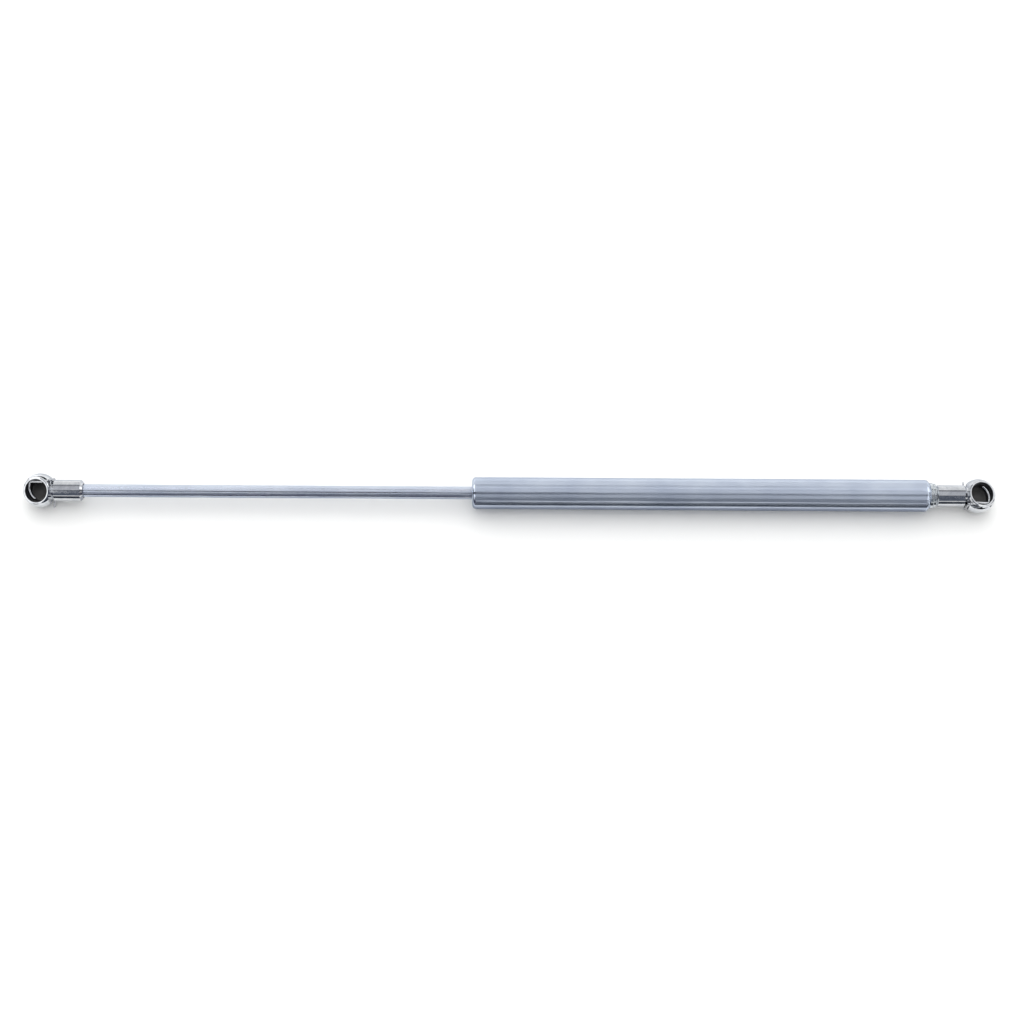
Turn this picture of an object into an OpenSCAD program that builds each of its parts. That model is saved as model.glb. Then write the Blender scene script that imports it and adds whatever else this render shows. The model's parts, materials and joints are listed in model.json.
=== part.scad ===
// Gas strut stay with a metal ball socket at each end.
// Origin: centre of the ball in the cylinder-end socket. The strut runs along X,
// with the rod end on the -X side. +Z is up, the way the socket mouths face.
// The strut is drawn fully extended, which is how it rests.

/* [Strut] */
// Travel of the rod into the cylinder
stroke = 170; // [60:1:250]
// Distance between the two ball centres beyond twice the stroke
dead_len = 100; // [96:1:160]
// Roll of the rod-end socket about the strut, away from upright
rod_roll = 17.5; // [-90:0.5:90]

/* [Cylinder tube] */
// Outside diameter of the tube
tube_d = 15; // [14:0.5:18]
// Wall thickness of the tube
tube_wall = 1; // [0.8:0.05:1.2]
// Room that the oil and the pressed gas keep when the rod is fully in
oil_room = 4.6; // [3:0.1:12]
// Outside radius of the rolled corner at the rod end
rod_end_roll = 1.9; // [1.5:0.1:2.2]
// Outside radius of the rolled corner at the plug end
plug_end_roll = 2; // [1.5:0.1:2.4]
// Opening in the rolled rod end
rod_opening_d = 8.6; // [8:0.1:9]
// Opening in the rolled plug end
plug_opening_d = 9; // [8:0.1:9.4]

/* [Rod] */
// Diameter of the polished rod
rod_d = 6; // [5:0.25:6.25]
// Diameter of the turned-down spigot that carries the piston
spigot_d = 4; // [3:0.25:4.5]
// Thickness of the riveted head on the spigot
rivet_t = 1.2; // [0.8:0.1:2]
// Diameter of the riveted head
rivet_d = 5.6; // [5:0.1:6.5]
// Chamfer round the riveted head
rivet_chamfer = 0.6; // [0.3:0.1:0.8]

/* [Rod seal pack] */
// Thickness of the dust wiper
wiper_t = 2; // [1.5:0.1:3]
// Length of the rod guide
guide_len = 9; // [7:0.5:12]
// Wall of the bush inside the guide
bush_wall = 1; // [0.75:0.05:1.4]
// Length of the rod seal
seal_len = 5; // [4:0.5:7]
// Thickness of the washer behind the seal
seal_washer_t = 1.5; // [1:0.1:2]
// Radial gap between the rod and the bush
bush_gap = 0.03; // [0.02:0.01:0.06]
// Radial gap between the rod and a seal lip
lip_gap = 0.02; // [0.01:0.01:0.05]
// Radial gap between the rod and a piece that doesn't touch it
rod_clear = 0.4; // [0.3:0.05:0.5]
// Chamfer on the inner end of the guide
guide_chamfer = 0.6; // [0.3:0.1:1]

/* [Piston] */
// Diameter of the piston
piston_d = 12.5; // [12:0.1:12.6]
// Length of the piston
piston_len = 8; // [6:0.5:10]
// Width of the piston ring
ring_w = 2; // [1.5:0.1:2.5]
// Radial depth of the groove that holds the ring
ring_groove = 1.2; // [0.8:0.1:1.6]
// Diameter of the washer between the rod shoulder and the piston
piston_washer_d = 10.6; // [9:0.1:11.5]
// Thickness of that washer
piston_washer_t = 1.5; // [1:0.1:2]
// Diameter of the orifice disc
disc_d = 10; // [9:0.1:11]
// Thickness of the orifice disc
disc_t = 0.8; // [0.5:0.1:1.2]
// Diameter of the damping holes
orifice_d = 0.8; // [0.5:0.05:1]
// Number of damping holes
orifice_count = 3; // [2:1:4]
// Chamfer on the piston's edges
piston_chamfer = 0.5; // [0.2:0.1:0.8]
// Gap between piston and seal washer with the rod fully out
rest_gap = 0.5; // [0.3:0.1:1]

/* [End plug] */
// Length of the plug body inside the tube
plug_len = 8; // [6:0.5:10]
// Section diameter of the plug's O-ring
o_ring_d = 1.6; // [1.2:0.1:2]
// Width of the O-ring's groove, as a multiple of the ring's section
o_groove = 1.3; // [1.2:0.05:1.5]
// Chamfer on the plug's inner end
plug_chamfer = 0.5; // [0.3:0.1:1]
// Diameter of the collar that sits against the tube end
collar_d = 12.2; // [11.5:0.1:13]
// Thickness of the collar
collar_t = 1.6; // [1.2:0.1:2]
// Diameter of the lock washer
washer_d = 11.4; // [10.6:0.1:12]
// Thickness of the lock washer
washer_t = 1.4; // [1:0.1:1.8]
// Broken outer edges of the collar and the lock washer
washer_edge = 0.25; // [0.1:0.05:0.4]

/* [Ball sockets] */
// Diameter of the ball that the sockets take
ball_d = 10; // [9:0.5:10.5]
// Radial gap between the ball and the socket's bore
ball_gap = 0.1; // [0.05:0.01:0.15]
// Diameter of the round head
head_d = 16; // [15.5:0.1:18]
// Diameter of the neck
neck_d = 10; // [9.2:0.1:10.6]
// Distance from the ball centre to the end of the neck
socket_len = 20.3; // [19:0.1:24]
// Height of the flat rim above the ball centre
rim_h = 5.05; // [4.9:0.05:5.5]
// Lean of the mouth away from the neck
mouth_lean = 12; // [0:0.5:14]
// Chamfer on the end of the neck
neck_chamfer = 1; // [0.5:0.1:1.5]
// Diameter of the recess in the end of the neck
recess_d = 6.9; // [6.6:0.1:7.2]
// Depth of that recess
recess_depth = 1.2; // [0.8:0.1:1.5]
// Nominal diameter of the screw thread
thread_d = 6; // [5:0.25:6.25]
// Thread pitch
thread_pitch = 1; // [0.75:0.25:1.25]
// Depth of the screw thread
thread_depth = 0.35; // [0.25:0.05:0.5]
// Screwed length in each socket
thread_len = 8; // [6:0.5:9]
// Drilled depth beyond the end of the screw
drill_past = 1; // [0.5:0.1:2]
// Thickness of the plastic seat under the ball
seat_t = 0.75; // [0.5:0.05:1]
// Height of the seat's edge below the ball centre
seat_edge = 2.2; // [1.8:0.1:3]
// Chamfer round the bottom of the seat and its pocket
seat_chamfer = 1.5; // [1.3:0.1:1.8]
// How much smaller the seat's pocket is than the bore, in radius
seat_step = 0.2; // [0.15:0.05:0.3]
// How much wider the mouth is above the ball's running bore, in radius
mouth_relief = 0.25; // [0.2:0.05:0.35]
// Broken edge on the outside and the inside of the rim
rim_break = 0.2; // [0.1:0.05:0.3]

/* [Safety clips] */
// Diameter of the clip wire
wire_d = 1; // [0.8:0.05:1.1]
// Inside-bend radius on the wire's centre line
wire_bend = 1; // [0.8:0.05:1.2]
// Height of the wire above the ball centre, inside the mouth
wire_h = 3.55; // [3.4:0.05:3.7]
// Depth of the groove round the root of the neck
groove_depth = 0.6; // [0.4:0.05:0.8]
// Length of the groove's sloping side, on the neck
groove_slope = 1; // [0.8:0.1:1.4]
// Distance of the straight part of the wire from the mouth axis
wire_offset = 4.1; // [3.9:0.05:4.3]
// Radius of the curved part of the wire
sickle_r = 6.2; // [5.8:0.1:6.4]
// Gap between the wire and its slot or groove
wire_gap = 0.2; // [0.15:0.05:0.3]
// How far the free end reaches past the strut's axis
free_end = 8.2; // [6.5:0.1:8.4]

/* [Hidden] */
$fn = 96;

chrome = "#C9CCD1";
satin_steel = "#AEB7C4";
zinc_plate = "#BFC6C9";
acetal = "#2B2B2D";
nitrile = "#1E1E20";

press_gap = 0.01;                    // radial gap where one piece is pressed into another
thread_gap = 0.05;                   // radial gap between screw threads
ring_gap = 0.03;                     // gap round the piston ring
cut = 0.5;                           // how far a cutting tool runs past a face
strut_len = 2 * stroke + dead_len;   // between the two ball centres, fully extended

tube_r = tube_d / 2;
tube_bore_r = tube_r - tube_wall;
rod_r = rod_d / 2;
spigot_r = spigot_d / 2;
head_r = head_d / 2;
neck_r = neck_d / 2;
ball_r = ball_d / 2;
bore_r = ball_r + ball_gap;
pocket_r = bore_r - seat_step;
mouth_r = bore_r + mouth_relief;
rim_r = sqrt(head_r * head_r - rim_h * rim_h);         // outer edge of the flat rim
wire_r = wire_d / 2;

// The tube holds the seal pack, the piston, the stroke, the oil and the plug
pack_len = wiper_t + guide_len + seal_len + seal_washer_t;
piston_group_len = piston_washer_t + piston_len + disc_t + rivet_t;
tube_len = tube_wall + pack_len + rest_gap + piston_group_len + stroke + oil_room + plug_len + tube_wall;

// Places along X, from the cylinder-end ball towards the rod end
x_plug_end = -(socket_len + washer_t + collar_t);      // closed end of the tube
x_rod_end = x_plug_end - tube_len;                     // end of the tube where the rod comes out
x_lip = x_rod_end + tube_wall;                         // inside of the rolled rod end
x_guide = x_lip + wiper_t;
x_seal = x_guide + guide_len;
x_seal_washer = x_seal + seal_len;
x_pack_end = x_seal_washer + seal_washer_t;            // where the seal pack ends
x_shoulder = x_pack_end + rest_gap;                    // shoulder of the rod, at rest
x_piston = x_shoulder + piston_washer_t;
x_disc = x_piston + piston_len;
x_rivet = x_disc + disc_t;
x_plug_face = x_plug_end - tube_wall;                  // outer shoulder of the plug
x_plug_inner = x_plug_face - plug_len;
x_rod_socket = -strut_len;
x_rod_neck = x_rod_socket + socket_len;                // neck end of the rod's socket

// The mouth stands at right angles to the strut, turned by its lean
mouth_floor = -(ball_r + seat_t + ball_gap / 2);
seat_dish_r = ball_r + ball_gap / 2;

// Groove at the root of the neck, where the clip crosses behind it
groove_r = neck_r - groove_depth;
groove_w = wire_d + 2 * wire_gap;
root_x = sqrt(head_r * head_r - neck_r * neck_r);      // where the head meets the neck
root_step = 0.65;                                      // the groove lies this far into the head
groove_mid = root_x - root_step;
groove_clear = 1.5 * wire_gap;                         // between the wire and the groove's bottom

// The wire's course, seen down the mouth: a sickle, a corner, then a straight run
sickle_x = 2.3;
sickle_y = 1.6;
sickle_from = -58;                                     // angle of the tip
sickle_to = 10;                                        // angle where the corner starts
slot_low = 1.8;                                        // the clip's slot starts here, or lower
wire_out = sickle_r + wire_r;                          // outer side of the curved wire
sickle_off = norm([sickle_x, sickle_y]);
leave = acos((sickle_off * sickle_off + wire_out * wire_out - mouth_r * mouth_r)
             / (2 * sickle_off * wire_out)) - atan2(sickle_y, sickle_x);
slot_y = min(slot_low, sickle_y + wire_out * sin(leave) - wire_gap);
slot_out = -(sickle_r - sickle_x + wire_r + 1.5 * wire_gap);
run_end = 2.6;                                         // where the run turns outwards
bend_step = 12;                                        // angle between the wire's rings in a bend
wire_sides = 12;
wire_side = groove_r + groove_clear + wire_r;          // wire beside and behind the neck

function unit(v) = v / norm(v);
// A point given in the mouth's own directions, put into the socket's directions
function from_mouth(p) = [p.x * cos(mouth_lean) - p.z * sin(mouth_lean), p.y,
                          p.x * sin(mouth_lean) + p.z * cos(mouth_lean)];
// Zigzag of a screw thread between two places, as [radius, place] points
function thread(r, deep, from, to) =
    let (turns = round((to - from) / thread_pitch))
    let (step = (to - from) / turns)
    [for (i = [0 : turns - 1]) each [[r - deep, from + i * step], [r, from + (i + 0.5) * step]],
     [r - deep, to]];

// A turned piece: points are [radius, place along X]
module turned(points) rotate([0, 90, 0]) rotate_extrude() polygon(points);
// A plain ring between two places along X
module ring(from, to, outer, inner)
    turned([[inner, from], [outer, from], [outer, to], [inner, to]]);
module mouthwise() rotate([0, -mouth_lean, 0]) children();
module at_rod_end() translate([x_rod_socket, 0, 0]) rotate([rod_roll, 0, 0]) children();
module at_cylinder_end() rotate([0, 0, 180]) children();

// ---- cylinder ----

// One rolled-over end of the tube; side is +1 where the tube runs on towards +X
module rolled_end(end, side, roll, opening)
    translate([end, 0, 0]) rotate([0, side * 90, 0]) difference() {
        union() {
            rotate_extrude() translate([tube_r - roll, roll]) circle(r = roll);
            cylinder(h = 2 * roll, r = tube_r - roll);
            translate([0, 0, roll]) cylinder(h = roll, r = tube_r);
        }
        translate([0, 0, -cut]) cylinder(h = 2 * roll + 2 * cut, r = opening / 2);
        rotate_extrude() translate([tube_r - roll, roll]) circle(r = roll - tube_wall);
        translate([0, 0, tube_wall]) cylinder(h = 2 * roll, r = tube_r - roll);
        translate([0, 0, roll]) cylinder(h = roll + cut, r = tube_bore_r);
    }

module cylinder_tube() color(satin_steel) {
    rolled_end(x_rod_end, 1, rod_end_roll, rod_opening_d);
    ring(x_rod_end + 2 * rod_end_roll, x_plug_end - 2 * plug_end_roll, tube_r, tube_bore_r);
    rolled_end(x_plug_end, -1, plug_end_roll, plug_opening_d);
}

// Largest radius that clears the inside of a rolled corner
wiper_r = tube_r - rod_end_roll;
nose_gap = 0.3;                                        // between the wiper's nose and the opening
lip_inset = 0.5;                                       // the wiping lip lies this far inside
nose_inset = 0.25;

module dust_wiper() color(nitrile) {
    nose = rod_opening_d / 2 - nose_gap;
    lip_r = rod_r + lip_gap;
    free_r = rod_r + rod_clear;
    turned([[lip_r, x_rod_end + lip_inset], [free_r, x_rod_end + nose_inset],
            [nose, x_lip - nose_inset], [nose, x_lip], [wiper_r, x_lip], [wiper_r, x_guide],
            [free_r, x_guide], [free_r, x_lip + lip_inset], [lip_r, x_lip]]);
}

module rod_guide() color(zinc_plate) {
    outer = tube_bore_r - press_gap;
    inner = rod_r + bush_gap + bush_wall + press_gap;
    turned([[inner, x_guide], [outer - guide_chamfer, x_guide], [outer, x_guide + guide_chamfer],
            [outer, x_seal], [inner, x_seal]]);
}

module guide_bush() color("#B08A4A")
    ring(x_guide, x_seal, rod_r + bush_gap + bush_wall, rod_r + bush_gap);

u_half = 0.8;                                          // half the width of the seal's open side
u_root = 0.45;                                         // where that opening ends, as a share of the seal
u_lip = 0.8;                                           // where the lip meets the rod, likewise

module rod_seal() color(nitrile) {
    // U-shaped lip seal, open towards the pressure side
    outer = tube_bore_r - press_gap;
    middle = (outer + rod_r) / 2;
    free_r = rod_r + rod_clear;
    turned([[free_r, x_seal], [outer, x_seal], [outer, x_seal_washer],
            [middle + u_half, x_seal_washer], [middle, x_seal + u_root * seal_len],
            [middle - u_half, x_seal_washer], [free_r, x_seal_washer],
            [rod_r + lip_gap, x_seal + u_lip * seal_len], [free_r, x_seal + u_root * seal_len]]);
}

module seal_washer() color(zinc_plate)
    ring(x_seal_washer, x_pack_end, tube_bore_r - press_gap, rod_r + rod_clear);

o_ring_x = (x_plug_inner + x_plug_end - plug_end_roll) / 2;    // middle of the plug's O-ring

module end_plug() color(zinc_plate) difference() {
    outer = tube_bore_r - press_gap;
    nose = plug_opening_d / 2 - press_gap;
    stud_from = x_plug_end;
    stud_to = -(socket_len - recess_depth - thread_len);
    turned(concat(
        [[0, x_plug_inner], [outer - plug_chamfer, x_plug_inner], [outer, x_plug_inner + plug_chamfer],
         [outer, x_plug_end - plug_end_roll], [tube_r - plug_end_roll, x_plug_face],
         [nose, x_plug_face], [nose, stud_from]],
        [[thread_d / 2, stud_from], [thread_d / 2, -(socket_len - recess_depth)]],
        thread(thread_d / 2, thread_depth, -(socket_len - recess_depth), stud_to),
        [[0, stud_to]]));
    ring(o_ring_x - o_ring_d * o_groove / 2, o_ring_x + o_ring_d * o_groove / 2, tube_r,
         tube_bore_r - 2 * press_gap - o_ring_d);
}

module plug_o_ring() color(nitrile)
    translate([o_ring_x, 0, 0]) rotate([0, 90, 0])
        rotate_extrude() translate([tube_bore_r - press_gap - o_ring_d / 2, 0]) circle(d = o_ring_d);

module edge_ring(from, to, d, inner) {
    // a flat ring with its outer edges broken
    edge = washer_edge;
    turned([[inner, from], [d / 2 - edge, from], [d / 2, from + edge], [d / 2, to - edge],
            [d / 2 - edge, to], [inner, to]]);
}

module stud_collar() color(zinc_plate)
    edge_ring(x_plug_end, x_plug_end + collar_t, collar_d, thread_d / 2 + thread_gap);

module lock_washer() color(zinc_plate)
    edge_ring(x_plug_end + collar_t, -socket_len, washer_d, thread_d / 2 + thread_gap);

// ---- ball sockets, drawn with the neck along +X and the mouth up ----

// The round space that the seat fills, from the mouth's floor up to a height
module pocket(r, top) translate([0, 0, mouth_floor]) {
    cylinder(h = seat_chamfer, r1 = r - seat_chamfer, r2 = r);
    translate([0, 0, seat_chamfer]) cylinder(h = top - mouth_floor - seat_chamfer, r = r);
}

module ball_socket() difference() {
    union() {
        sphere(r = head_r);
        turned([[0, 0], [neck_r, 0], [neck_r, socket_len - neck_chamfer],
                [neck_r - neck_chamfer, socket_len], [0, socket_len]]);
    }
    mouthwise() {
        translate([-head_d, -head_d, rim_h]) cube([2 * head_d, 2 * head_d, head_d]);
        pocket(pocket_r, head_d);
        translate([0, 0, -seat_edge]) cylinder(h = head_d, r = bore_r);
        translate([0, 0, wire_h - groove_w / 2]) cylinder(h = head_d, r = mouth_r);
        translate([0, 0, rim_h - rim_break])
            cylinder(h = 2 * rim_break, r1 = mouth_r, r2 = mouth_r + 2 * rim_break);
        rotate_extrude() polygon([
            [rim_r - rim_break, rim_h], [rim_r - rim_break, rim_h + cut], [rim_r + 1, rim_h + cut],
            [sqrt(head_r * head_r - (rim_h - rim_break) * (rim_h - rim_break)), rim_h - rim_break]]);
        // slot that the clip slides in through
        translate([slot_out, slot_y, wire_h - groove_w / 2])
            cube([root_x - slot_out + wire_gap, head_d, groove_w]);
    }
    // groove round the root of the neck: square towards the head, sloping out to the neck
    turned([[groove_r, groove_mid - groove_w / 2], [groove_r, groove_mid + wire_r / 2],
            [neck_r, groove_mid + wire_r / 2 + groove_slope],
            [head_r, groove_mid + wire_r / 2 + groove_slope], [head_r, groove_mid - groove_w / 2]]);
    // recess and screw thread in the neck
    turned([[0, socket_len + cut], [recess_d / 2, socket_len + cut],
            [recess_d / 2, socket_len - recess_depth], [0, socket_len - recess_depth]]);
    turned(concat([[0, socket_len - recess_depth + cut / 2],
                   [thread_d / 2 - thread_depth + thread_gap, socket_len - recess_depth + cut / 2]],
                  [for (p = thread(thread_d / 2, thread_depth, -(socket_len - recess_depth),
                                   -(socket_len - recess_depth - thread_len)))
                      [p.x + thread_gap, -p.y]],
                  [[0, socket_len - recess_depth - thread_len - drill_past]]));
}

module ball_seat() mouthwise() difference() {
    pocket(pocket_r - press_gap, -seat_edge);
    sphere(r = seat_dish_r);
}

module rod_socket() color(chrome) at_rod_end() ball_socket();
module cylinder_socket() color(chrome) at_cylinder_end() ball_socket();
module rod_ball_seat() color(acetal) at_rod_end() ball_seat();
module cylinder_ball_seat() color(acetal) at_cylinder_end() ball_seat();

// ---- rod and piston ----

module piston_rod() color(chrome) {
    x_seat = x_rod_neck - recess_depth;
    turned(concat(
        [[0, x_seat - thread_len]],
        thread(thread_d / 2, thread_depth, x_seat - thread_len, x_seat),
        [[rod_r, x_seat], [rod_r, x_shoulder], [spigot_r, x_shoulder], [spigot_r, x_rivet],
         [rivet_d / 2, x_rivet], [rivet_d / 2, x_rivet + rivet_t / 2],
         [rivet_d / 2 - rivet_chamfer, x_rivet + rivet_t], [0, x_rivet + rivet_t]]));
}

module piston_washer() color(zinc_plate)
    ring(x_shoulder, x_piston, piston_washer_d / 2, spigot_r + press_gap);

module piston() color("#8E8E86") {
    ring_from = x_piston + (piston_len - ring_w) / 2 - ring_gap;
    ring_to = ring_from + ring_w + 2 * ring_gap;
    outer = piston_d / 2;
    floor_r = outer - ring_groove;
    bore = spigot_r + press_gap;
    edge = piston_chamfer;
    turned([[bore, x_piston], [outer - edge, x_piston], [outer, x_piston + edge],
            [outer, ring_from], [floor_r, ring_from], [floor_r, ring_to], [outer, ring_to],
            [outer, x_disc - edge], [outer - edge, x_disc], [bore, x_disc]]);
}

module piston_ring() color("#3A3A3C") {
    from = x_piston + (piston_len - ring_w) / 2;
    ring(from, from + ring_w, tube_bore_r - ring_gap, piston_d / 2 - ring_groove + ring_gap);
}

module orifice_disc() color(zinc_plate) difference() {
    ring(x_disc, x_rivet, disc_d / 2, spigot_r + press_gap);
    for (i = [0 : orifice_count - 1])
        rotate([i * 360 / orifice_count, 0, 0])
            translate([x_disc - cut, 0, (rivet_d + disc_d) / 4])
                rotate([0, 90, 0]) cylinder(h = disc_t + 2 * cut, d = orifice_d);
}

// ---- safety clips ----

// Points round the bend at corner p, arriving along a and leaving along b
function bend(p, a, b) =
    let (turn = acos(a * b), inward = unit(b - a * (a * b)))
    let (centre = p - a * wire_bend * tan(turn / 2) + inward * wire_bend)
    let (steps = max(1, round(turn / bend_step)))
    [for (i = [0 : steps])
        centre - inward * wire_bend * cos(i * turn / steps) + a * wire_bend * sin(i * turn / steps)];

// A line through corners, with each inner corner bent to the same radius
function bent(corners) =
    let (last = len(corners) - 1)
    let (dirs = [for (i = [0 : last - 1]) unit(corners[i + 1] - corners[i])])
    [corners[0], for (i = [1 : last - 1]) each bend(corners[i], dirs[i - 1], dirs[i]), corners[last]];

// Wire along a line of points, each ring of the wire turned as little as possible from the last
module wire(points) {
    last = len(points) - 1;
    dirs = [for (i = [0 : last]) unit(points[min(i + 1, last)] - points[max(i - 1, 0)])];
    across = [for (i = 0, n = unit(cross(dirs[0], [0, 0, 1])); i <= last;
                   i = i + 1, n = i > last ? n : unit(n - dirs[i] * (n * dirs[i]))) n];
    rings = [for (i = [0 : last]) for (k = [0 : wire_sides - 1])
        let (turn = k * 360 / wire_sides, r = i == 0 || i == last ? wire_r * 0.6 : wire_r)
            points[i] + r * (across[i] * cos(turn) + cross(dirs[i], across[i]) * sin(turn))];
    sides = [for (i = [0 : last - 1]) for (k = [0 : wire_sides - 1])
        let (p = i * wire_sides + k, q = i * wire_sides + (k + 1) % wire_sides)
            each [[p, p + wire_sides, q + wire_sides], [p, q + wire_sides, q]]];
    ends = [[for (k = [0 : wire_sides - 1]) k],
            [for (k = [wire_sides - 1 : -1 : 0]) last * wire_sides + k]];
    polyhedron(rings, concat(sides, ends), convexity = 6);
}

module clip() {
    tip = 0.3 * wire_d;                                // length of the rounded tip
    top = (groove_mid + wire_h * sin(mouth_lean)) / cos(mouth_lean);
    over = from_mouth([top, wire_side, wire_h]);
    arc_end = [sickle_x - sickle_r * cos(sickle_to), sickle_y + sickle_r * sin(sickle_to), wire_h];
    corner = [arc_end.x + (wire_offset - arc_end.y) * tan(sickle_to), wire_offset, wire_h];
    sickle = [for (a = [sickle_from : bend_step / 2 : sickle_to - 1])
        from_mouth([sickle_x - sickle_r * cos(a), sickle_y + sickle_r * sin(a), wire_h])];
    back = unit(sickle[0] - sickle[1]);
    wire(concat(
        [sickle[0] + back * tip], sickle,
        bent([from_mouth(arc_end), from_mouth(corner), from_mouth([run_end, wire_offset, wire_h]),
              over, [over.x, wire_side, -wire_side], [over.x, tip - free_end, -wire_side]]),
        [[over.x, -free_end, -wire_side]]));
}

module rod_clip() color(chrome) at_rod_end() clip();
module cylinder_clip() color(chrome) at_cylinder_end() clip();

cylinder_tube();
rod_guide();
guide_bush();
rod_seal();
seal_washer();
dust_wiper();
end_plug();
plug_o_ring();
stud_collar();
lock_washer();
cylinder_socket();
cylinder_ball_seat();
piston_ring();
piston_rod();
piston();
piston_washer();
orifice_disc();
rod_socket();
rod_ball_seat();
rod_clip();
cylinder_clip();
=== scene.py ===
import json
import math
import bpy
from mathutils import Matrix, Vector


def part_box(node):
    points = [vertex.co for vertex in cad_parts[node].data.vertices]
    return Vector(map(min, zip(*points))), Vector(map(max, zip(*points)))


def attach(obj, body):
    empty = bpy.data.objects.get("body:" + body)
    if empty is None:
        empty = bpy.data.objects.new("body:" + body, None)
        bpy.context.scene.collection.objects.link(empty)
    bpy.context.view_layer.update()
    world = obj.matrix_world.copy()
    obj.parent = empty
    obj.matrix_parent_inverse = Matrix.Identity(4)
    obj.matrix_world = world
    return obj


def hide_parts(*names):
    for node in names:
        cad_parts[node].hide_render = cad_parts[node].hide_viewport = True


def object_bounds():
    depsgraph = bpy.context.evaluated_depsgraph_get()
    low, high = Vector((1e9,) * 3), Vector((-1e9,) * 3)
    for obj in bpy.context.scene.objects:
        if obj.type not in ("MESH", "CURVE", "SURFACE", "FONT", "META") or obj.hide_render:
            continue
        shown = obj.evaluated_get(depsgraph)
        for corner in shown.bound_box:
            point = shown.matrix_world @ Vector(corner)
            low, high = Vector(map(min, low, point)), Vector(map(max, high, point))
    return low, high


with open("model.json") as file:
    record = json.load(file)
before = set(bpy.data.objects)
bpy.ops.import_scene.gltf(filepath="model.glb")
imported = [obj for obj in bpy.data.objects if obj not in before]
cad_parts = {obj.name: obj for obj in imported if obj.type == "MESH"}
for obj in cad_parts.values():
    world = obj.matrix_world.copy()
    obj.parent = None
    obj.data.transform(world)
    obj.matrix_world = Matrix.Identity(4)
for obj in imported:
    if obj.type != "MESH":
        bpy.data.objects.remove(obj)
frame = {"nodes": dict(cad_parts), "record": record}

cadLow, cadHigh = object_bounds()        # the CAD box

mm = 0.001
nodes = frame["nodes"]
mounts = {m["name"]: m for m in frame["record"]["mounts"]}


def linearColour(hexColour):
    # sRGB hex to the linear values that sockets take
    parts = [int(hexColour[i:i + 2], 16) / 255 for i in (1, 3, 5)]
    return [c / 12.92 if c <= 0.04045 else ((c + 0.055) / 1.055) ** 2.4 for c in parts] + [1]


def addNode(tree, kind, settings=None, links=None):
    node = tree.nodes.new(kind)
    for name, value in (settings or {}).items():
        if isinstance(name, int) or name in node.inputs:
            node.inputs[name].default_value = value
        else:
            setattr(node, name, value)
    for name, source in (links or {}).items():
        tree.links.new(source, node.inputs[name])
    return node


def newMaterial(name):
    material = bpy.data.materials.new(name)
    material.use_nodes = True
    tree = material.node_tree
    return material, tree, tree.nodes["Principled BSDF"]


def selectOnly(piece):
    bpy.ops.object.select_all(action="DESELECT")
    piece.select_set(True)
    bpy.context.view_layer.objects.active = piece


def giveMaterial(material, *names):
    for name in names:
        nodes[name].data.materials.clear()
        nodes[name].data.materials.append(material)


# How the noise patterns are drawn: how fine each kind goes, how rough they are, and the levels
# that nearly all of a noise lies between
noise = {"streaks": 3, "clouds": 2, "grain": 4, "rough": 0.6, "low": 0.3, "high": 0.7}
blurTurn = 0.25        # a quarter turn, from round the strut to along it


# An uneven pattern: along is a mark's length along the strut, across its width round it
def markPattern(tree, along, across, detail):
    place = addNode(tree, "ShaderNodeTexCoord")
    stretch = addNode(tree, "ShaderNodeMapping", {"Scale": (1 / along, 1 / across, 1 / across)},
                      {"Vector": place.outputs["Object"]})
    return addNode(tree, "ShaderNodeTexNoise",
                   {"Scale": 1.0, "Detail": detail, "Roughness": noise["rough"]},
                   {"Vector": stretch.outputs["Vector"]}).outputs["Fac"]


# What every finish has: patches of two tints, an uneven roughness and a fine relief
def dressSurface(tree, shader, finish, patches, marks):
    levels = {"From Min": noise["low"], "From Max": noise["high"]}
    patchy = addNode(tree, "ShaderNodeMapRange", levels, {"Value": patches})
    tint = addNode(tree, "ShaderNodeMix", {"data_type": "RGBA", 6: linearColour(finish["dark"]),
                                           7: linearColour(finish["light"])}, {0: patchy.outputs[0]})
    dull = addNode(tree, "ShaderNodeMapRange", {**levels, "To Min": finish["rough"][0],
                                             "To Max": finish["rough"][1]}, {"Value": marks})
    bump = addNode(tree, "ShaderNodeBump", {"Strength": finish["bump"], "Distance": finish["depth"]},
                   {"Height": marks})
    tree.links.new(tint.outputs[2], shader.inputs["Base Color"])
    tree.links.new(dull.outputs[0], shader.inputs["Roughness"])
    tree.links.new(bump.outputs["Normal"], shader.inputs["Normal"])


def metal(name, finish):
    material, tree, shader = newMaterial(name)
    shader.inputs["Metallic"].default_value = 1
    dressSurface(tree, shader, finish,
                 markPattern(tree, finish["cloud"], finish["cloud"], noise["clouds"]),
                 markPattern(tree, finish["along"], finish["across"], noise["streaks"]))
    if "ends" in finish:                 # the rolled ends stay smoother than the ground length
        low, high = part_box(finish["ends"])
        place = addNode(tree, "ShaderNodeTexCoord")
        spot = addNode(tree, "ShaderNodeSeparateXYZ", None, {"Vector": place.outputs["Object"]})
        away = addNode(tree, "ShaderNodeMath", {"operation": "COMPARE", 1: (low.x + high.x) / 2,
                                                2: (high.x - low.x) / 2 - finish["endLength"]},
                       {0: spot.outputs["X"]})
        ground = shader.inputs["Roughness"].links[0].from_socket
        mixed = addNode(tree, "ShaderNodeMix", {"data_type": "FLOAT", 2: finish["endRough"]},
                        {0: away.outputs[0], 3: ground})
        tree.links.new(mixed.outputs[0], shader.inputs["Roughness"])
    if "grain" in finish:                # ground or turned round the strut, so it blurs lengthwise
        shader.inputs["Anisotropic"].default_value = finish["grain"]
        turn = addNode(tree, "ShaderNodeTangent", {"direction_type": "RADIAL", "axis": "X"})
        tree.links.new(turn.outputs["Tangent"], shader.inputs["Tangent"])
        shader.inputs["Anisotropic Rotation"].default_value = blurTurn
    return material


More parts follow.
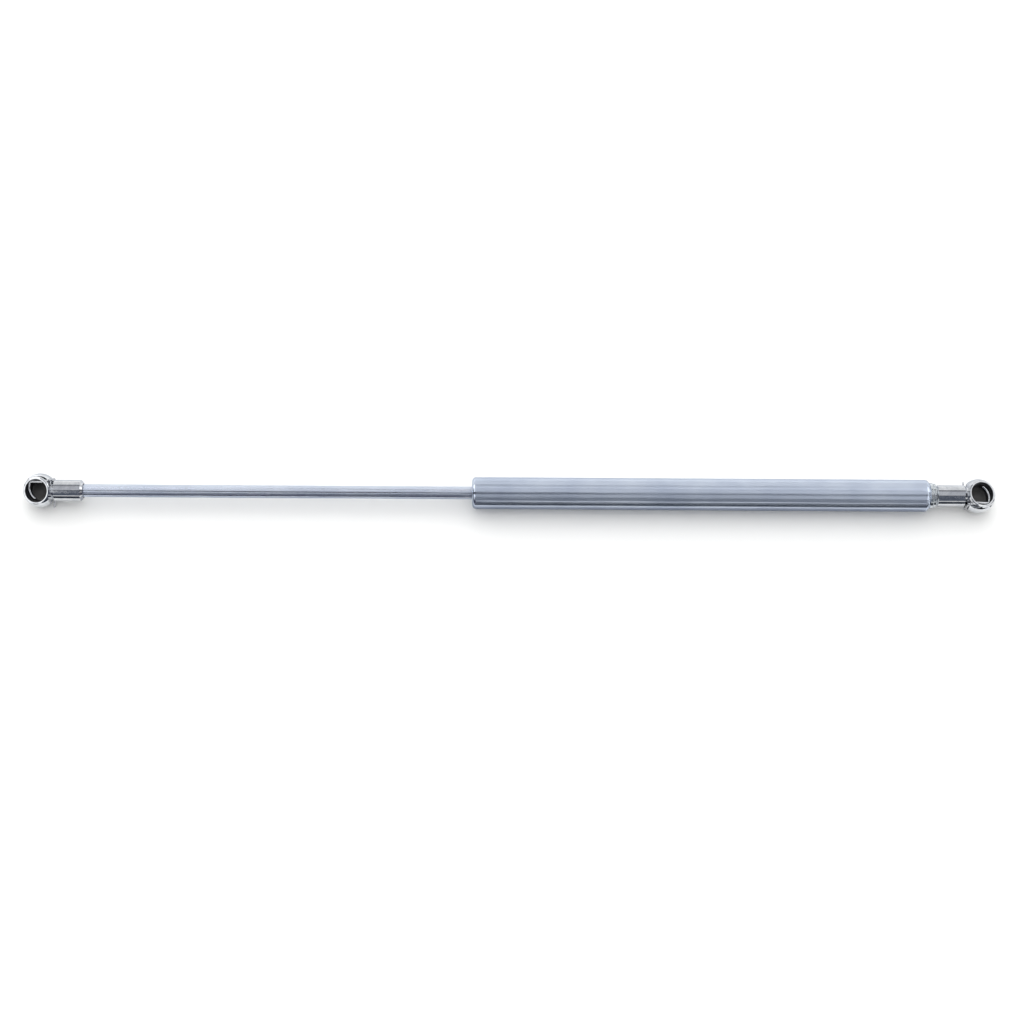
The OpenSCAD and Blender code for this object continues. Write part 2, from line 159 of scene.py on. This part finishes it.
# Ground steel tube, bright zinc plated: the belt ran round it, so bands stay sharp and blur
# lengthwise. The streaks are drawn wider than a belt's real scratches, so that they show
tubeSteel = metal("groundZincSteel", {
    "dark": "#B8C2D4", "light": "#C8D1E0", "rough": (0.28, 0.33), "bump": 1.0, "depth": 0.05 * mm,
    "along": 60 * mm, "across": 1.1 * mm, "cloud": 18 * mm, "grain": 0.985,
    "ends": "cylinder_tube", "endLength": 1.7 * mm, "endRough": 0.13})
# Hard chrome on a centreless-ground rod: brighter and sharper than the tube
rodChrome = metal("hardChrome", {
    "dark": "#CAD2E2", "light": "#D8DFEC", "rough": (0.25, 0.29), "bump": 0.8, "depth": 0.02 * mm,
    "along": 60 * mm, "across": 0.5 * mm, "cloud": 25 * mm, "grain": 0.985})
# Clear zinc on turned parts: duller than nickel, with turning marks round it, drawn coarse to show
zincPlate = metal("clearZincPlate", {
    "dark": "#C0C6CA", "light": "#D6DADD", "rough": (0.14, 0.24), "bump": 0.18, "depth": 0.01 * mm,
    "along": 0.15 * mm, "across": 4 * mm, "cloud": 4 * mm})
# Spring wire, bright drawn: shiny, with fine lines along the wire
springWire = metal("brightSpringWire", {
    "dark": "#B4B6BA", "light": "#CCCED2", "rough": (0.08, 0.16), "bump": 0.1, "depth": 0.01 * mm,
    "along": 2 * mm, "across": 0.12 * mm, "cloud": 2 * mm})
# Sintered bronze: warm and dull, with open pores
sinteredBronze = metal("sinteredBronze", {
    "dark": "#7A5A30", "light": "#A88350", "rough": (0.32, 0.5), "bump": 0.5, "depth": 0.04 * mm,
    "along": 0.25 * mm, "across": 0.25 * mm, "cloud": 1.5 * mm})
# Sintered iron, steam treated: blue-grey and grainy
sinteredIron = metal("sinteredIron", {
    "dark": "#4C4E50", "light": "#6C6F70", "rough": (0.35, 0.55), "bump": 0.5, "depth": 0.04 * mm,
    "along": 0.25 * mm, "across": 0.25 * mm, "cloud": 2 * mm})

socketFinish = {
    "dark": "#C2C5CA", "light": "#D6D8DB", "rough": (0.05, 0.10), "bump": 0.25, "depth": 0.012 * mm,
    "along": 1.6 * mm, "across": 1.6 * mm, "cloud": 3 * mm,
    # the bore entries paint shade into the mouth: its dark colour, its roughness, and how wide and deep it
    # reaches
    "bore": "#68696C", "boreRough": 0.38, "boreRadius": 5.5 * mm, "boreFrom": -7 * mm}


# Bright nickel over turned steel: a clear mirror, a little uneven. Inside the mouth the colour is painted
# dark grey and duller: painted shade in the deep bore
def nickelSocket(name, mount):
    material = metal(name, socketFinish)
    tree = material.node_tree
    shader = tree.nodes["Principled BSDF"]
    mouth = Vector(mount["axis"]).to_track_quat("Z", "Y")
    place = addNode(tree, "ShaderNodeTexCoord")
    local = addNode(tree, "ShaderNodeMapping", {"vector_type": "TEXTURE", "Location": mount["pos_m"],
                                                "Rotation": mouth.to_euler()},
                    {"Vector": place.outputs["Object"]})
    parts = addNode(tree, "ShaderNodeSeparateXYZ", None, {"Vector": local.outputs[0]})
    flat = addNode(tree, "ShaderNodeCombineXYZ", None, {"X": parts.outputs["X"], "Y": parts.outputs["Y"]})
    reach = addNode(tree, "ShaderNodeVectorMath", {"operation": "LENGTH"}, {0: flat.outputs[0]})
    inside = addNode(tree, "ShaderNodeMath", {"operation": "LESS_THAN", 1: socketFinish["boreRadius"]},
                     {0: reach.outputs["Value"]})
    above = addNode(tree, "ShaderNodeMath", {"operation": "GREATER_THAN", 1: socketFinish["boreFrom"]},
                    {0: parts.outputs["Z"]})
    bore = addNode(tree, "ShaderNodeMath", {"operation": "MULTIPLY"},
                   {0: inside.outputs[0], 1: above.outputs[0]}).outputs[0]
    # Mix in the painted shade of the bore: a dark grey base colour and a duller roughness inside the mouth
    for socket, kind, first, second, dark in (
            ("Base Color", "RGBA", 6, 7, linearColour(socketFinish["bore"])),
            ("Roughness", "FLOAT", 2, 3, socketFinish["boreRough"])):
        plated = shader.inputs[socket].links[0].from_socket
        mixed = addNode(tree, "ShaderNodeMix", {"data_type": kind, second: dark}, {0: bore, first: plated})
        tree.links.new(mixed.outputs[2 if kind == "RGBA" else 0], shader.inputs[socket])
    return material


# A plastic or rubber: one fine grain gives it the patches, the dullness and the relief
def moulded(name, finish):
    material, tree, shader = newMaterial(name)
    shader.inputs["IOR"].default_value = finish["ior"]
    grain = markPattern(tree, finish["grain"], finish["grain"], noise["grain"])
    dressSurface(tree, shader, finish, grain, grain)
    return material


# Black acetal, moulded: charcoal with a dull waxy shine
acetal = moulded("blackAcetal", {
    "dark": "#504F4F", "light": "#605F5E", "rough": (0.34, 0.46), "ior": 1.48,
    "bump": 0.25, "depth": 0.02 * mm, "grain": 0.3 * mm})
# Nitrile rubber, moulded: near black and matt
nitrile = moulded("nitrileRubber", {
    "dark": "#161617", "light": "#222224", "rough": (0.6, 0.8), "ior": 1.52,
    "bump": 0.3, "depth": 0.02 * mm, "grain": 0.25 * mm})
# Carbon-filled PTFE: dark grey with a soft sheen
filledPtfe = moulded("filledPtfe", {
    "dark": "#2C2C2E", "light": "#3C3C3E", "rough": (0.45, 0.6), "ior": 1.36,
    "bump": 0.2, "depth": 0.02 * mm, "grain": 0.3 * mm})

giveMaterial(tubeSteel, "cylinder_tube")
giveMaterial(rodChrome, "piston_rod")
giveMaterial(nickelSocket("brightNickelRodEnd", mounts["rod_ball_socket"]), "rod_socket")
giveMaterial(nickelSocket("brightNickelCylinderEnd", mounts["cylinder_ball_socket"]), "cylinder_socket")
giveMaterial(springWire, "rod_clip", "cylinder_clip")
giveMaterial(zincPlate, "end_plug", "stud_collar", "lock_washer", "rod_guide", "seal_washer",
             "piston_washer", "orifice_disc")
giveMaterial(acetal, "rod_ball_seat", "cylinder_ball_seat")
giveMaterial(nitrile, "dust_wiper", "rod_seal", "plug_o_ring")
giveMaterial(sinteredBronze, "guide_bush")
giveMaterial(sinteredIron, "piston")
giveMaterial(filledPtfe, "piston_ring")
print("materials done")


# The bent wire, rounder than the frame's: each ring of flats becomes a smooth round
clipWire = {
    "merge": 0.005 * mm,
    "faceTurn": math.radians(60),        # triangles that lie this flat to each other join
    "shapeTurn": math.radians(90),
    "levels": 2,
}


def roundWire(nodeName, body):
    wire = nodes[nodeName].copy()
    wire.data = wire.data.copy()
    wire.name = wire.data.name = nodeName + "_wire"
    bpy.context.collection.objects.link(wire)
    wire.parent = None
    wire.hide_render = False
    selectOnly(wire)
    bpy.ops.object.mode_set(mode="EDIT")
    bpy.ops.mesh.select_all(action="SELECT")
    bpy.ops.mesh.remove_doubles(threshold=clipWire["merge"])
    bpy.ops.mesh.customdata_custom_splitnormals_clear()
    bpy.ops.mesh.tris_convert_to_quads(face_threshold=clipWire["faceTurn"],
                                       shape_threshold=clipWire["shapeTurn"])
    bpy.ops.object.mode_set(mode="OBJECT")
    bpy.ops.object.shade_smooth()
    smooth = wire.modifiers.new("round", "SUBSURF")
    smooth.levels = smooth.render_levels = clipWire["levels"]
    bpy.ops.object.modifier_apply(modifier=smooth.name)
    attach(wire, body)
    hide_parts(nodeName)


roundWire("rod_clip", "rod_clip_wire")
roundWire("cylinder_clip", "cylinder_clip_wire")
print("clips done")


rodBall = Vector(mounts["rod_ball_socket"]["pos_m"])
cylinderBall = Vector(mounts["cylinder_ball_socket"]["pos_m"])
middle = (rodBall + cylinderBall) / 2

studio = {
    "elevation": 75.5,                # degrees above the horizon that the camera looks from
    "roll": 0.355,                    # the strut lies a touch off level in the view
    "distance": 0.985,
    "lens": 73.8,
    "near": 10 * mm,                  # nothing closer to the camera is drawn
    "offset": (1.3 * mm, -8.8 * mm),  # the view's centre from the strut's middle, right and up
    "cards": 1.2,                     # how far the cards and softboxes stand from the strut
    "world": "#5C5E64",
    "worldStrength": 1.0,
}

# Each card and softbox: the angles along the strut that it fills, the angles round the strut,
# counted from straight up towards the near side, its colour and how bright it looks, 1 being white
cards = {
    "upperLeftSoftbox": ((-62, -24), (-60, -23), "#FFFFFF", 2.1),
    "upperRightSoftbox": ((24, 75), (-60, -23), "#FFFFFF", 1.9),
    "topLeftSoftbox": ((-62, -24), (-23, 8), "#FFFFFF", 1.3),
    "topRightSoftbox": ((24, 75), (-23, 8), "#FFFFFF", 1.15),
    "lowerLeftSoftbox": ((-62, -22), (14, 50), "#FFFFFF", 1.5),
    "lowerRightSoftbox": ((22, 75), (14, 50), "#FFFFFF", 1.35),
    "frontLeftSoftbox": ((-62, -24), (52, 68), "#FFFFFF", 0.9),
    "frontRightSoftbox": ((24, 75), (52, 68), "#FFFFFF", 0.8),
    "backdrop": ((-75, 75), (-89, -51), "#FFFFFF", 1.0),
    "lineGap": ((-23, 23), (-48, -35), "#EEF0F6", 0.40),
    "topGap": ((-23, 23), (-34, 11), "#EEF0F6", 0.7),
    "darkGap": ((-23, 23), (15, 70), "#CAD6EE", 0.2),
    "paperFront": ((-75, 75), (71, 79), "#FFFFFF", 1.05),
}


def addCamera():
    tilt = math.radians(90 - studio["elevation"])
    turn = Matrix.Rotation(tilt, 3, "X") @ Matrix.Rotation(math.radians(studio["roll"]), 3, "Z")
    right, up, back = turn.col[0], turn.col[1], turn.col[2]
    aim = middle + right * studio["offset"][0] + up * studio["offset"][1]
    bpy.ops.object.camera_add(location=aim + back * studio["distance"], rotation=turn.to_euler())
    camera = bpy.context.active_object
    camera.data.lens = studio["lens"]
    camera.data.clip_start = studio["near"]
    bpy.context.scene.camera = camera


def addCard(name, along, around, colour, glow):
    lean, turn = (math.radians(sum(pair) / 2) for pair in (along, around))
    toCard = Vector((math.sin(lean), -math.cos(lean) * math.sin(turn), math.cos(lean) * math.cos(turn)))
    length = 2 * studio["cards"] * math.tan(math.radians(along[1] - along[0]) / 2)
    width = 2 * studio["cards"] * math.cos(lean) * math.tan(math.radians(around[1] - around[0]) / 2)
    side = Vector((math.cos(lean), math.sin(lean) * math.sin(turn), -math.sin(lean) * math.cos(turn)))
    face = Matrix((side, toCard.cross(side), toCard)).transposed()
    bpy.ops.mesh.primitive_plane_add(size=1, location=middle + toCard * studio["cards"],
                                     rotation=face.to_euler())
    card = bpy.context.active_object
    card.name = name
    card.scale = (length, width, 1)
    material, tree, shader = newMaterial(name)
    shader.inputs["Base Color"].default_value = (0, 0, 0, 1)
    shader.inputs["Specular IOR Level"].default_value = 0
    shader.inputs["Emission Color"].default_value = linearColour(colour)
    shader.inputs["Emission Strength"].default_value = glow
    card.data.materials.append(material)
    card.visible_camera = False
    card.visible_shadow = False


strutSpan = (cadLow.x, cadHigh.x)
rodSpan = (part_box("rod_socket")[1].x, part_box("cylinder_tube")[0].x)
bodySpan = (rodSpan[0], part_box("cylinder_tube")[1].x)

# Painted reflections and painted shade: dark strips that only the metal mirrors. Two stand in for the
# reflection of a second strut lying beside this one, one over the rod paints a dark line into its
# reflection, and two are the paper's painted shade in front and behind. Each is a strip: how far in front
# of the strut's axis and above it, in mm, its width, its lean from flat, its colour, and where it runs
# along the strut
shades = {
    "beside": (25, -1.0, 9.2, 90, "#30353E", strutSpan),
    "besideRod": (24.5, 5, 17, 90, "#4A4A56", rodSpan),
    "paintedOverRodReflection": (16, 60, 20, 180, "#3E3E4A", rodSpan),
    "shadedPaper": (13, -7.8, 14, 0, "#B0B2B7", bodySpan),
    "paintedPaperShadeBehind": (-17, -7.8, 22, 0, "#D2D4D8", strutSpan),
}


def addShade(name, front, height, width, lean, colour, span):
    bpy.ops.mesh.primitive_plane_add(size=1, location=(sum(span) / 2, -front * mm, height * mm),
                                     rotation=(math.radians(lean), 0, 0))
    shade = bpy.context.active_object
    shade.name = name
    shade.scale = (span[1] - span[0], width * mm, 1)
    material, tree, shader = newMaterial(name)
    shader.inputs["Base Color"].default_value = linearColour(colour)
    shader.inputs["Roughness"].default_value = 1
    shade.data.materials.append(material)
    # unseen by the camera, by diffuse light and by shadows: only mirrored, as painted reflection and shade
    shade.visible_camera = shade.visible_diffuse = shade.visible_shadow = False


paper = {"size": 8, "below": 0.02 * mm, "colour": "#F4F4F2", "rough": 0.9}


def addFloor():
    bpy.ops.mesh.primitive_plane_add(size=paper["size"], location=(middle.x, 0, cadLow.z - paper["below"]))
    floor = bpy.context.active_object
    floor.name = "floor"
    material, tree, shader = newMaterial("whitePaper")
    shader.inputs["Base Color"].default_value = linearColour(paper["colour"])
    shader.inputs["Roughness"].default_value = paper["rough"]
    floor.data.materials.append(material)


# Lights the paper white from above and behind, and isn't mirrored in the metal
key = {"way": Vector((0, 0.42, 0.91)), "distance": 1.6, "size": (1.2, 2.4), "energy": 31}


def addKey():
    bpy.ops.object.light_add(type="AREA", location=middle + key["way"] * key["distance"],
                             rotation=key["way"].to_track_quat("Z", "Y").to_euler())
    lamp = bpy.context.active_object
    lamp.name = "key"
    lamp.data.shape = "RECTANGLE"
    lamp.data.size, lamp.data.size_y = key["size"]
    lamp.data.energy = key["energy"]
    lamp.visible_glossy = False


addCamera()
addFloor()
for name, (along, around, colour, glow) in cards.items():
    addCard(name, along, around, colour, glow)
addKey()
for name, shade in shades.items():
    addShade(name, *shade)

world = bpy.data.worlds.new("studio")
world.use_nodes = True
world.node_tree.nodes["Background"].inputs["Color"].default_value = linearColour(studio["world"])
world.node_tree.nodes["Background"].inputs["Strength"].default_value = studio["worldStrength"]
bpy.context.scene.world = world
bpy.context.scene.view_settings.view_transform = "Standard"
print("studio done")
